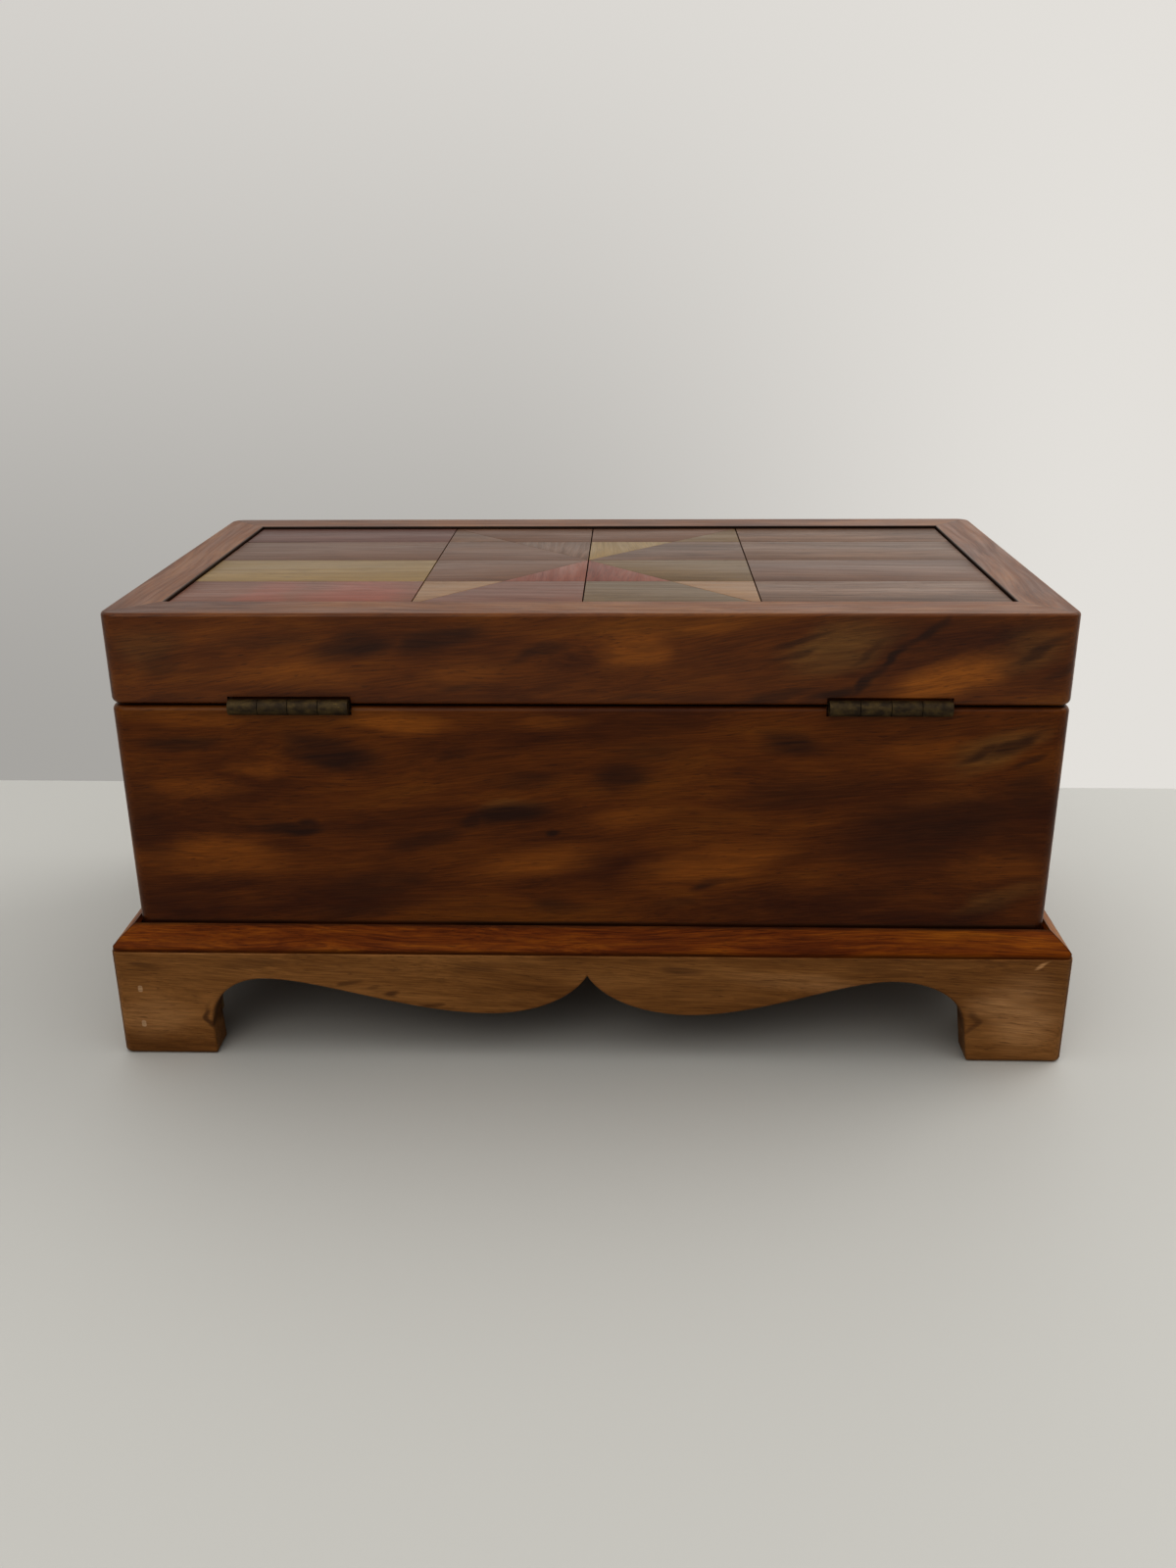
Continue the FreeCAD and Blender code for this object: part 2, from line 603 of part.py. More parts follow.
def make_square():
    """The middle square: each row is cut by the upright through the centre and by the diagonals."""
    y_end = INNER_D - PANEL_GAP
    for side_name, side, out in (("left", 0, -1), ("right", 1, 1)):
        edge = SQUARE[side] - out * UPRIGHT_SEAM / 2
        spine = CENTRE[0] + out * UPRIGHT_SEAM / 2
        ease = out * DIAGONAL_SEAM / 2
        for row, (back, front) in enumerate(zip(ROW_EDGES, ROW_EDGES[1:]), start=1):
            y1 = min(back - ROW_SEAM / 2, y_end)
            y0 = max(front + ROW_SEAM / 2, -y_end)
            d1 = diagonal_x(y1, side)
            d0 = diagonal_x(y0, side)
            near_centre = row in (2, 3)
            # Towards the spine: a triangle in the rows that meet the centre, else a full wedge.
            tip_low = row == 2  # the row whose wedge narrows towards the front
            if near_centre:
                wide_y, wide_x = (y1, d1) if tip_low else (y0, d0)
                spine_corners = [(spine, wide_y), (wide_x - ease, wide_y), (spine, CENTRE[1])]
                spine_corners = trimmed(spine_corners, y0, y1)
                outer = [(edge, y0), (edge, y1), (d1 + ease, y1), (d0 + ease, y0)]
            else:
                spine_corners = [(spine, y0), (spine, y1), (d1 - ease, y1), (d0 - ease, y0)]
                far_y = y1 if row == 1 else y0
                near_y, near_x = (y0, d0) if row == 1 else (y1, d1)
                outer = [(edge, near_y), (near_x + ease, near_y), (edge, far_y)]
            inlay(f"inlay_square_{side_name}_inner_{row}", spine_corners)
            inlay(f"inlay_square_{side_name}_outer_{row}", outer)


def trimmed(corners, y0, y1):
    """A triangle's corners with their heights kept inside the row."""
    return [(x, min(max(y, y0), y1)) for x, y in corners]


def make_hinges():
    for name, middle in HINGE_MIDDLES.items():
        for place, on_lid in (("case", False), ("lid", True)):
            parts[f"{name}_hinge_{place}_leaf"] = hinge_leaf(middle, on_lid)
            screws = [
                countersunk_screw(x, y, *leaf_screw_drive(on_lid)) for x, y in screw_places(middle)
            ]
            parts[f"{name}_hinge_{place}_screws"] = Part.makeCompound(screws)
        parts[f"{name}_hinge_pin"] = hinge_pin(middle)


def main():
    make_case()
    make_aprons()
    make_nails()
    make_mouldings()
    make_latch()
    make_lid_frame()
    make_keepers()
    make_strips()
    make_square()
    make_hinges()
    os.makedirs("parts", exist_ok=True)
    for name, shape in parts.items():
        shape.exportStep(f"parts/{name}.step")
        solids = shape.Solids
        print(f"{name:34s} solids {len(solids)} volume {shape.Volume:10.2f} valid {shape.isValid()}")
    print(len(parts), "nodes")


main()
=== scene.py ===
"""A hinged puzzle box in oiled and varnished wood: smoky red-brown case and lid, a redder moulding, a
paler plinth with bracket feet, and a lid panel pieced together from offcuts of many woods."""

import json
import math

import bmesh
import bpy
from mathutils import Matrix, Vector


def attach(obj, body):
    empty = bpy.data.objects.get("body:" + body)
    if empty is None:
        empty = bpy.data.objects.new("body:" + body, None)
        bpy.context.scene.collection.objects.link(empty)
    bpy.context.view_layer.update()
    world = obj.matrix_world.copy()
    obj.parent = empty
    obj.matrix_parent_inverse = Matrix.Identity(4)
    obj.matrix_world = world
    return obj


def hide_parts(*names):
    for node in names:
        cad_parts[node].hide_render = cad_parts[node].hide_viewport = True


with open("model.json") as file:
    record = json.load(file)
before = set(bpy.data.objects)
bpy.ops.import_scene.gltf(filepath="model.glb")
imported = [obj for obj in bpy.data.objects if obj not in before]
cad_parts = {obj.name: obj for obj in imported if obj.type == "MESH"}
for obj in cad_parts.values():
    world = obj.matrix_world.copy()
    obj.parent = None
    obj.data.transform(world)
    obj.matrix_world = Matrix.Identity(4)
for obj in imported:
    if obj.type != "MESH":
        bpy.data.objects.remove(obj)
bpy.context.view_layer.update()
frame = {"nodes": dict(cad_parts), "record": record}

# ---- Case walls ----------------------------------------------------------------------------------
# Four boards of smoky red-brown wood, planed, mitred and glued at the corners, then varnished to a
# satin finish. The grain runs level round the box, and dark smoky clouds drift along it.
NODES = frame["nodes"]
BODY_OF = {node: body for body, held in frame["record"]["behaviour"]["bodies"].items() for node in held}
SLOT_OF = {part["node"]: part["material_slot"] for part in frame["record"]["subparts"]}
MM = 1000.0  # patterns are drawn in millimetres
RELIEF = 0.00004  # depth of the grain and of scratches, in metres
BACK_FACE = 66.5  # where the case's back is, in millimetres
CASE_TONES = [
    (0.055, 0.0132, 0.0026), (0.089, 0.0252, 0.0032), (0.125, 0.0380, 0.0038), (0.167, 0.0590, 0.0056),
]
SMOKE = (0.036, 0.0115, 0.0050)
EMBER = (0.290, 0.104, 0.0120)
GREY_FIGURE = (0.190, 0.096, 0.0270)
# The dark of the corner joints, also laid on as painted shade in recesses and creases.
JOINT_DARK_AND_SHADE = (0.014, 0.0060, 0.0025)


def add(tree, kind, *inputs, out=0, **settings):
    """Adds one shader node, feeds its inputs in order, and gives back one of its outputs."""
    made = tree.nodes.new(kind)
    for name, value in settings.items():
        setattr(made, name, value)
    for socket, value in zip(made.inputs, inputs):
        if isinstance(value, bpy.types.NodeSocket):
            tree.links.new(value, socket)
        elif value is not None:
            socket.default_value = value
    return made.outputs[out]


def sums(tree, operation, *inputs, clamp=False):
    return add(tree, "ShaderNodeMath", *inputs, operation=operation, use_clamp=clamp)


def spread(tree, value, low, high, to_low=0.0, to_high=1.0):
    """A smooth rise from to_low to to_high as the value goes from low to high."""
    return add(tree, "ShaderNodeMapRange", value, low, high, to_low, to_high, interpolation_type="SMOOTHSTEP")


def tint(tree, share, below, above, blend="MIX"):
    """Mixes two colours, or a colour and a tuple, by a share."""
    made = tree.nodes.new("ShaderNodeMix")
    made.data_type = "RGBA"
    made.blend_type = blend
    for socket, value in ((made.inputs[0], share), (made.inputs[6], below), (made.inputs[7], above)):
        if isinstance(value, bpy.types.NodeSocket):
            tree.links.new(value, socket)
        else:
            socket.default_value = value if isinstance(value, float) else (*value, 1.0)
    return made.outputs[2]


def noise(tree, place, stretch, detail, roughness, seed=0.0, out=0):
    """Noise on a place in millimetres, with its own scale along each axis."""
    moved = add(tree, "ShaderNodeMapping", place, (seed * 7.3, seed * 3.1, seed * 5.7), None, stretch)
    return add(tree, "ShaderNodeTexNoise", moved, None, 1.0, detail, roughness, out=out)


def place_in_mm(tree, along="X", lean=0.0):
    """Where a point is in millimetres, and the same turned so that the grain runs along its first axis."""
    coords = add(tree, "ShaderNodeTexCoord", out="Object")
    scaled = add(tree, "ShaderNodeVectorMath", coords, None, None, MM, operation="SCALE")
    turn = {"X": (0, -math.radians(lean), 0), "Y": (0, 0, -math.pi / 2), "Z": (0, math.pi / 2, 0)}[along]
    return scaled, add(tree, "ShaderNodeMapping", scaled, None, turn)


def patches(tree, place, spots, seed=0.0):
    """Soft ragged patches of figure. A spot is (x, z, half length, half height, lean, strength, y): it
    leans up towards -X by so many degrees, and its y may be left out on the back of the case."""
    torn = noise(tree, place, (0.035, 0.05, 0.09), 2.0, 0.5, seed + 2.0, out="Color")
    shifted = add(tree, "ShaderNodeVectorMath", torn, (0.5, 0.5, 0.5), operation="SUBTRACT")
    shifted = add(tree, "ShaderNodeVectorMath", shifted, (22.0, 6.0, 6.5), operation="MULTIPLY")
    warped = add(tree, "ShaderNodeVectorMath", place, shifted, operation="ADD")
    total = None
    for x, z, length, height, lean, strength, *face in spots:
        centre = (x, face[0] if face else BACK_FACE, z)
        local = add(
            tree, "ShaderNodeMapping", warped, centre, (0, math.radians(lean), 0), (length, 45.0, height),
            vector_type="TEXTURE",
        )
        spot = add(tree, "ShaderNodeTexGradient", local, gradient_type="SPHERICAL", out=1)
        spot = spread(tree, spot, 0.0, 0.75, 0.0, strength)
        total = spot if total is None else sums(tree, "MAXIMUM", total, spot)
    return total


def wood(name, tones, along="X", lean=0.0, seed=0.0, smoke=(), ember=(), grey=(), glow=EMBER, rough=0.36,
         shine=0.35, streak=1.0, pores=0.5, contrast=1.0, mitre=None, recess=None, crease_shade=()):
    """Planed solid wood: slow clouds of colour, growth lines, fine fibre and short dark pores.

    smoke, ember and grey are patches of figure, and glow is the ember's colour. mitre is (half width,
    half depth) of the frame it is part of, whose corner joints show as hair lines. recess is (half width,
    half depth) of a recess in its top, on whose wall the colour is darkened as painted shade. The last
    argument is a list of (height, half width, strength) of level creases darkened as painted shade.
    """
    material = bpy.data.materials.new(name)
    material.use_nodes = True
    tree = material.node_tree
    shader = tree.nodes["Principled BSDF"]
    here, grain = place_in_mm(tree, along, lean)

    drift = noise(tree, grain, (0.010, 0.034, 0.034), 2.0, 0.5, seed + 1.0, out="Color")
    drift = add(tree, "ShaderNodeVectorMath", drift, (0.5, 0.5, 0.5), operation="SUBTRACT")
    drift = add(tree, "ShaderNodeVectorMath", drift, (30.0, 12.0, 12.0), operation="MULTIPLY")
    grain = add(tree, "ShaderNodeVectorMath", grain, drift, operation="ADD")
    band = noise(tree, grain, (0.0090, 0.060, 0.060), 3.0, 0.50, seed + 3.0)
    cloud = noise(tree, grain, (0.024, 0.085, 0.085), 3.0, 0.55, seed + 7.0)
    lines = noise(tree, grain, (0.022, 0.55, 0.55), 4.0, 0.62, seed + 4.0)
    fibre = noise(tree, grain, (0.095, 2.6, 2.6), 3.0, 0.6, seed + 5.0)
    pore = noise(tree, grain, (0.22, 3.4, 3.4), 1.0, 0.5, seed + 6.0)
    pore = spread(tree, pore, 0.64, 0.74, 0.0, pores)

    shares = ((band, 0.42), (cloud, 0.36), (lines, 0.13 * streak), (fibre, 0.08 * streak))
    tone = 0.5 - sum(share for _, share in shares) / 2
    for layer, share in shares:
        tone = sums(tree, "MULTIPLY_ADD", layer, share, tone)
    reach = 0.17 / contrast
    tone = spread(tree, tone, 0.5 - reach, 0.5 + reach)
    ramp = tree.nodes.new("ShaderNodeValToRGB")
    for _ in tones[2:]:
        ramp.color_ramp.elements.new(0.5)
    for i, (stop, colour) in enumerate(zip(ramp.color_ramp.elements, tones)):
        stop.position = i / (len(tones) - 1)
        stop.color = (*colour, 1.0)
    tree.links.new(tone, ramp.inputs[0])
    colour = ramp.outputs[0]

    for spots, paint, part_seed in ((ember, glow, 1.0), (grey, GREY_FIGURE, 2.0), (smoke, SMOKE, 3.0)):
        if spots:
            share = patches(tree, here, spots, seed=seed + part_seed)
            share = sums(tree, "MULTIPLY", share, spread(tree, lines, 0.30, 0.60, 0.62, 1.08), clamp=True)
            colour = tint(tree, share, colour, paint)
    fleck = spread(tree, fibre, 0.32, 0.68, 0.86, 1.13)
    colour = add(tree, "ShaderNodeVectorMath", colour, None, None, fleck, operation="SCALE")
    colour = tint(tree, pore, colour, SMOKE)

    if mitre or recess or crease_shade:
        distance = add(tree, "ShaderNodeVectorMath", here, operation="ABSOLUTE")
        x, y, z = (add(tree, "ShaderNodeSeparateXYZ", distance, out=axis) for axis in "XYZ")
    if mitre:
        gap = sums(tree, "SUBTRACT", sums(tree, "SUBTRACT", x, y), mitre[0] - mitre[1])
        gap = sums(tree, "ABSOLUTE", gap)
        colour = tint(tree, spread(tree, gap, 0.10, 0.30, 0.75, 0.0), colour, JOINT_DARK_AND_SHADE)
    # Painted shade: the colour darkens on the wall of the panel's recess, near the rails' top.
    if recess:
        outward = sums(tree, "MAXIMUM", sums(tree, "SUBTRACT", x, recess[0]),
                       sums(tree, "SUBTRACT", y, recess[1]))
        share = spread(tree, outward, 0.10, 0.45, 0.90, 0.0)
        near_top = spread(tree, z, 110.0, 112.0)
        colour = tint(tree, sums(tree, "MULTIPLY", share, near_top), colour, JOINT_DARK_AND_SHADE)
    # Painted shade: a dark band along each given height, where a seam or crease between parts is in shade.
    for level, width, strength in crease_shade:
        off_level = sums(tree, "ABSOLUTE", sums(tree, "SUBTRACT", z, level))
        uneven = spread(tree, cloud, 0.35, 0.65, 0.6, 1.0)
        share = sums(tree, "MULTIPLY", spread(tree, off_level, 0.15 * width, width, strength, 0.0), uneven)
        colour = tint(tree, share, colour, JOINT_DARK_AND_SHADE)

    height = sums(tree, "SUBTRACT", sums(tree, "MULTIPLY", fibre, 0.5), pore)
    bump = add(tree, "ShaderNodeBump", 0.5, RELIEF, None, height)
    tree.links.new(colour, shader.inputs["Base Color"])
    tree.links.new(spread(tree, lines, 0.3, 0.7, rough + 0.06, rough - 0.05), shader.inputs["Roughness"])
    tree.links.new(bump, shader.inputs["Normal"])
    shader.inputs["Specular IOR Level"].default_value = shine
    return material


def finish(node, material):
    """Gives a piece that keeps its own mesh its material."""
    slots = NODES[node].data.materials
    slots.clear()
    slots.append(material)


CASE_SIZE = (127.0, 66.5)  # half width and half depth
# Painted shade along the seam between case and lid, and along the case's foot above the moulding.
SEAM_SHADE = (103.0, 0.7, 0.6)
FOOT_SHADE = (39.0, 1.3, 0.9)
BACK_WALL_SMOKE = [
    (111, 92.4, 17, 2.8, 2, 0.70), (70, 89.7, 18, 7.0, -14, 0.90), (80, 68.0, 15, 2.6, 3, 0.95),
    (76, 69.6, 6, 2.0, 0, 0.80), (20, 72.4, 14, 3.6, 8, 1.0), (31, 70.4, 8, 2.4, 14, 0.75),
    (43, 64.8, 15, 4.2, 18, 0.55), (-10, 83.5, 12, 5.2, 5, 0.82), (-18, 90, 13, 4.2, 6, 0.45),
    (9, 66.0, 4.6, 1.9, 5, 1.0), (-53, 93.0, 13, 5.0, -6, 0.92), (-94, 70.5, 36, 13, 12, 0.55),
    (-36, 51.6, 8, 2.4, 22, 0.70), (59, 51, 16, 6.5, 15, 0.50), (7, 44.5, 11, 4.2, 0, 0.55),
    (-25, 44.6, 16, 2.6, 5, 0.35), (36, 90, 9, 2.8, 10, 0.35), (17, 82.4, 12, 3.4, 5, 0.48),
    (62, 43.4, 24, 3.5, 6, 0.42), (-108, 43.5, 17, 4.0, 18, 0.45), (-58, 79, 32, 6, 8, 0.28),
    (-112, 92.8, 13, 2.0, 27, 0.80), (-104, 89.8, 11, 1.8, 24, 0.72), (-116, 89.0, 8, 1.7, 27, 0.62),
    (-120, 80, 10, 9, 10, 0.45), (120, 72, 9, 20, 0, 0.25),
]
BACK_WALL_EMBER = [
    (48, 98.2, 21, 3.4, 0, 0.60), (8, 98.5, 15, 3.0, 4, 0.42), (103, 59, 25, 8.5, 0, 0.52),
    (13, 57.5, 27, 6.8, 10, 0.60), (-34, 58.6, 29, 8.5, 12, 0.55), (-95, 78, 15, 4.2, 6, 0.28),
    (107, 79, 19, 4.2, 0, 0.32), (90, 84.5, 11, 4.0, 0, 0.35), (-88, 92, 17, 5.0, 8, 0.30),
    (-110, 57, 17, 7.0, 16, 0.30), (102, 98.8, 20, 3.0, 0, 0.35), (-12, 71, 16, 4.0, 8, 0.25),
]
BACK_WALL_GREY = [(-107, 91, 19, 7.0, 24, 0.62), (-112, 48, 16, 5.0, 22, 0.50), (20, 74.5, 11, 2.4, 6, 0.4)]
finish("back_wall", wood("case_back", CASE_TONES, lean=4.0, seed=1, smoke=BACK_WALL_SMOKE,
                         ember=BACK_WALL_EMBER, grey=BACK_WALL_GREY, shine=0.25, mitre=CASE_SIZE,
                         crease_shade=(SEAM_SHADE, FOOT_SHADE)))
FRONT_WALL_SMOKE = [
    (-60, 78, 46, 5.0, 5, 0.7, -66.5), (30, 66, 50, 5.0, -5, 0.7, -66.5), (84, 90, 30, 4.0, 8, 0.6, -66.5),
    (-92, 54, 26, 4.0, -8, 0.5, -66.5), (6, 92, 22, 3.0, 0, 0.5, -66.5),
]
FRONT_WALL_EMBER = [
    (0, 80, 40, 6.0, 0, 0.45, -66.5), (-96, 92, 26, 5.0, 0, 0.4, -66.5), (70, 52, 36, 5.0, 0, 0.4, -66.5),
]
finish("front_wall", wood("case_front", CASE_TONES, lean=-6.0, seed=2, smoke=FRONT_WALL_SMOKE,
                          ember=FRONT_WALL_EMBER, shine=0.25, mitre=CASE_SIZE,
                          crease_shade=(SEAM_SHADE, FOOT_SHADE)))
for node, seed in (("left_wall", 3), ("right_wall", 4)):
    finish(node, wood(f"{node}_wood", CASE_TONES, along="Y", seed=seed, contrast=1.3, shine=0.25,
                      mitre=CASE_SIZE, crease_shade=(SEAM_SHADE, FOOT_SHADE)))

# ---- Floor board and front lining ------------------------------------------------------------------
# The floor is a thin board held in a rebate at the foot of the walls; the lining is a thinner one that
# closes the latch's pocket inside the front wall. Both were planed and left bare, and have darkened.
INSIDE_TONES = [(0.100, 0.045, 0.017), (0.165, 0.080, 0.032), (0.225, 0.118, 0.050), (0.290, 0.165, 0.078)]
ARRIS_SHARP = 30  # degrees between two faces from which their edge is eased
SHADED_SHARP = 40  # degrees from which an edge still looks sharp
JOINED = 2e-6  # corners closer than this are one
FLAT = 0.5  # degrees within which faces are one plane


def copy_of(node):
    """A bmesh of a piece from the design, with its loose triangles joined into flat faces."""
    mesh = bmesh.new()
    mesh.from_mesh(NODES[node].data)
    bmesh.ops.remove_doubles(mesh, verts=mesh.verts, dist=JOINED)
    bmesh.ops.dissolve_limit(mesh, angle_limit=math.radians(FLAT), verts=mesh.verts, edges=mesh.edges)
    return mesh


def ease(mesh, width):
    """Takes the sharp arrises off with a small round."""
    limit = math.radians(ARRIS_SHARP)
    sharp = [edge for edge in mesh.edges if edge.is_manifold and edge.calc_face_angle() > limit]
    bmesh.ops.bevel(mesh, geom=sharp, offset=width, offset_type="OFFSET", segments=2, profile=0.5,
                    affect="EDGES", clamp_overlap=True, material=-1)


def eased_board(name, node, width, material):
    """A piece from the design with its arrises eased, which stands in for its node."""
    mesh = copy_of(node)
    ease(mesh, width)
    data = bpy.data.meshes.new(name)
    mesh.to_mesh(data)
    mesh.free()
    data.shade_smooth()
    data.set_sharp_from_angle(angle=math.radians(SHADED_SHARP))
    data.materials.append(material)
    made = bpy.data.objects.new(name, data)
    bpy.context.scene.collection.objects.link(made)
    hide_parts(node)
    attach(made, BODY_OF[node])


inside_wood = wood("inside_board", INSIDE_TONES, seed=5, rough=0.55, shine=0.2, pores=0.35)
eased_board("floor_of_box", "floor_board", 0.0002, inside_wood)
eased_board("lining_board", "front_lining", 0.0003,
            wood("lining_wood", INSIDE_TONES, seed=6, rough=0.55, shine=0.2, pores=0.35))

# ---- Plinth ----------------------------------------------------------------------------------------
# Four aprons of a paler, yellower wood, sawn to a scallop between bracket feet, mitred and glued round
# the foot of the case. Small pores show along their sawn edges, and a knot at one foot.
PLINTH_TONES = [
    (0.128, 0.055, 0.0142), (0.172, 0.078, 0.0218), (0.212, 0.101, 0.0312), (0.262, 0.131, 0.0445),
]
PALE_SAPWOOD = (0.430, 0.250, 0.1200)
PLINTH_SIZE = (133.8, 73.3)  # half width and half depth
BACK_APRON_SMOKE = [
    (106.2, 11, 1.8, 7.0, 0, 0.62, 73.3), (67, 23.6, 2.6, 1.1, 0, 0.6, 73.3),
    (53, 20.2, 3.6, 1.0, 8, 0.65, 73.3), (45, 17.6, 2.6, 1.0, 8, 0.65, 73.3),
    (60, 21.6, 2.6, 1.0, 8, 0.5, 73.3), (-26, 29, 10, 1.4, -10, 0.40, 73.3),
    (-105.4, 12, 1.5, 5.0, 0, 0.45, 73.3), (92, 29, 14, 2.2, 6, 0.28, 73.3),
    (30, 29, 12, 2.0, 4, 0.30, 73.3), (126, 29, 5, 1.2, 0, 0.35, 73.3),
]
BACK_APRON_PALE = [
    (-120, 16, 17, 15, 0, 0.62, 73.3), (124, 12, 13, 10, 0, 0.30, 73.3), (-62, 24, 30, 5, -6, 0.30, 73.3),
    (-124, 30.6, 5, 0.7, 26, 1.0, 73.3),
]
finish("back_apron", wood("apron_back", PLINTH_TONES, lean=-3.0, seed=7, smoke=BACK_APRON_SMOKE,
                          ember=BACK_APRON_PALE, glow=PALE_SAPWOOD, rough=0.45, shine=0.2, streak=1.5,
                          pores=0.4, mitre=PLINTH_SIZE))
for node, along, seed in (("front_apron", "X", 8), ("left_apron", "Y", 9), ("right_apron", "Y", 10)):
    finish(node, wood(f"{node}_wood", PLINTH_TONES, along=along, seed=seed, rough=0.45, shine=0.2,
                      streak=1.5, pores=0.4, mitre=PLINTH_SIZE))

# ---- Corner glue blocks ------------------------------------------------------------------------------
# Four square blocks of pale softwood, sawn off a strip and rubbed into the corners with glue. They
# stiffen the feet and carry the corners of the case, and never show unless the box is turned over.
BLOCK_TONES = [(0.23, 0.135, 0.060), (0.31, 0.195, 0.095), (0.38, 0.250, 0.130), (0.44, 0.305, 0.170)]
block_wood = wood("block_pine", BLOCK_TONES, along="Z", seed=11, rough=0.7, shine=0.15, pores=0.2)
eased_board("glue_blocks", "corner_glue_blocks", 0.0005, block_wood)

# ---- Mouldings ---------------------------------------------------------------------------------------
# A small rounded moulding in a redder, straight-grained wood, planed in one length and cut to run
# round the foot of the case. The front length isn't glued: its dovetail slides in a groove.
MOULDING_TONES = [
    (0.086, 0.0180, 0.0014), (0.166, 0.045, 0.0024), (0.232, 0.076, 0.0036), (0.300, 0.112, 0.0066),
]
# Painted shade along the moulding's foot, where it meets the apron, and along its top at the case.
MOULDING_SHADE = ((32.5, 1.7, 0.75), (39.2, 1.0, 0.9))
for node, along, seed in (("back_moulding", "X", 12), ("left_moulding", "Y", 13), ("right_moulding", "Y", 14),
                          ("sliding_moulding", "X", 15)):
    finish(node, wood(f"{node}_wood", MOULDING_TONES, along=along, seed=seed, rough=0.42, shine=0.12,
                      streak=2.4, contrast=0.95, mitre=PLINTH_SIZE if node != "sliding_moulding" else None,
                      crease_shade=MOULDING_SHADE))

# ---- Latch -------------------------------------------------------------------------------------------
# A slat of pale close-grained wood slides inside the front wall, and its two notches hook the keepers.
# A peg glued through its foot comes out behind the sliding moulding, with a nick for a fingernail.
LATCH_TONES = [(0.26, 0.150, 0.066), (0.34, 0.210, 0.100), (0.41, 0.265, 0.135), (0.47, 0.320, 0.175)]
latch_wood = wood("latch_maple", LATCH_TONES, seed=16, rough=0.5, shine=0.25, pores=0.15)
eased_board("hooked_slat", "latch_slat", 0.0003, latch_wood)
eased_board("finger_peg", "latch_peg", 0.0002, latch_wood)

# ---- Lid rails ---------------------------------------------------------------------------------------
# The lid's thick sides come from the same boards as the case. A dark diagonal vein crosses the back
# rail near its left end, with a grey ripple on one side of it and clear orange wood on the other.
LID_BACK_SMOKE = [
    (60, 120, 19, 6.0, 4, 0.85), (36, 121.4, 18, 4.2, 8, 0.80), (110, 115, 10, 6.0, 0, 0.42),
    (9, 116.8, 11, 2.2, 18, 0.62), (31, 108.3, 8, 1.7, 10, 0.45), (-88.5, 123.0, 9.5, 1.8, 36, 0.85),
    (-80.5, 116.2, 8.0, 2.0, 51, 0.95), (-75, 110.4, 8.0, 2.4, 42, 0.95), (-66, 106.6, 10, 2.0, 12, 0.85),
    (-50, 106.0, 18, 1.9, 8, 0.72), (-55, 121.2, 10, 1.7, 20, 0.60), (-53, 116.6, 9, 1.6, 16, 0.55),
    (-73, 118, 8, 1.6, 38, 0.50), (-117, 118.6, 10, 2.2, 30, 0.70), (-110, 121.8, 11, 2.0, 27, 0.55),
    (-120, 112.6, 8, 1.4, 28, 0.50), (-20, 105.8, 22, 1.3, 3, 0.38), (84, 122, 16, 3, 4, 0.35),
]
LID_BACK_EMBER = [
    (-14, 118.6, 14, 6.8, 10, 0.62), (78, 111, 27, 5.2, 0, 0.50), (-94, 110.4, 22, 7.2, 22, 0.95),
    (-32, 125, 15, 3.0, 5, 0.32), (33, 112, 22, 5.0, 6, 0.34), (98, 121, 16, 4.0, 0, 0.28),
]
LID_BACK_GREY = [(-64, 118.4, 22, 8.5, 20, 0.72), (-115, 118, 15, 7.5, 26, 0.42), (117, 119, 15, 8, 0, 0.32)]
LID_TONES = [tuple(1.10 * band for band in tone) for tone in CASE_TONES]
PANEL_EDGE = (113.5, 53.0)  # half width and half depth of the recess for the panel
for node, along, seed, marks in (
    ("lid_back_rail", "X", 17,
     {"lean": 6.0, "smoke": LID_BACK_SMOKE, "ember": LID_BACK_EMBER, "grey": LID_BACK_GREY}),
    ("lid_front_rail", "X", 18, {}), ("lid_left_rail", "Y", 19, {}), ("lid_right_rail", "Y", 20, {}),
):
    finish(node, wood(f"{node}_wood", LID_TONES, along=along, seed=seed, shine=0.4, mitre=CASE_SIZE,
                      recess=PANEL_EDGE, crease_shade=(SEAM_SHADE,), **marks))

# ---- Panel core --------------------------------------------------------------------------------------
# A plain board in the rails' groove, which the inlay is glued to. Its underside is the lid's ceiling.
eased_board("ceiling_board", "lid_panel_core", 0.0002,
            wood("core_wood", INSIDE_TONES, seed=21, rough=0.55, shine=0.2, pores=0.3))

# ---- Inlay -------------------------------------------------------------------------------------------
# Offcuts of many woods, cut to strips and triangles, glued down in four rows and planed level. Each has
# its own colour, and its arrises were eased when the panel was scraped, so the seams show as fine lines.
INLAY_WOODS = {
    "inlay_red_brown": [(0.088, 0.027, 0.0130), (0.130, 0.044, 0.0210), (0.162, 0.060, 0.0290)],
    "inlay_brown": [(0.080, 0.034, 0.0165), (0.112, 0.050, 0.0250), (0.140, 0.066, 0.0340)],
    "inlay_purple_brown": [(0.070, 0.028, 0.0200), (0.102, 0.042, 0.0300), (0.130, 0.056, 0.0400)],
    "inlay_figured_brown": [(0.066, 0.029, 0.0135), (0.112, 0.053, 0.0260), (0.160, 0.083, 0.0440)],
    "inlay_pale_yellow": [(0.165, 0.102, 0.0340), (0.205, 0.130, 0.0450), (0.240, 0.156, 0.0560)],
    "inlay_peach": [(0.165, 0.085, 0.0350), (0.212, 0.113, 0.0480), (0.250, 0.140, 0.0620)],
    "inlay_red": [(0.100, 0.020, 0.0095), (0.150, 0.036, 0.0160), (0.190, 0.053, 0.0230)],
    "inlay_olive": [(0.080, 0.043, 0.0120), (0.112, 0.062, 0.0175), (0.140, 0.080, 0.0240)],
}
NEAR_STRIP_RED = [(64, 127, 20, 14, 0, 0.75, 40), (88, 127, 9, 14, 0, 0.6, 42)]
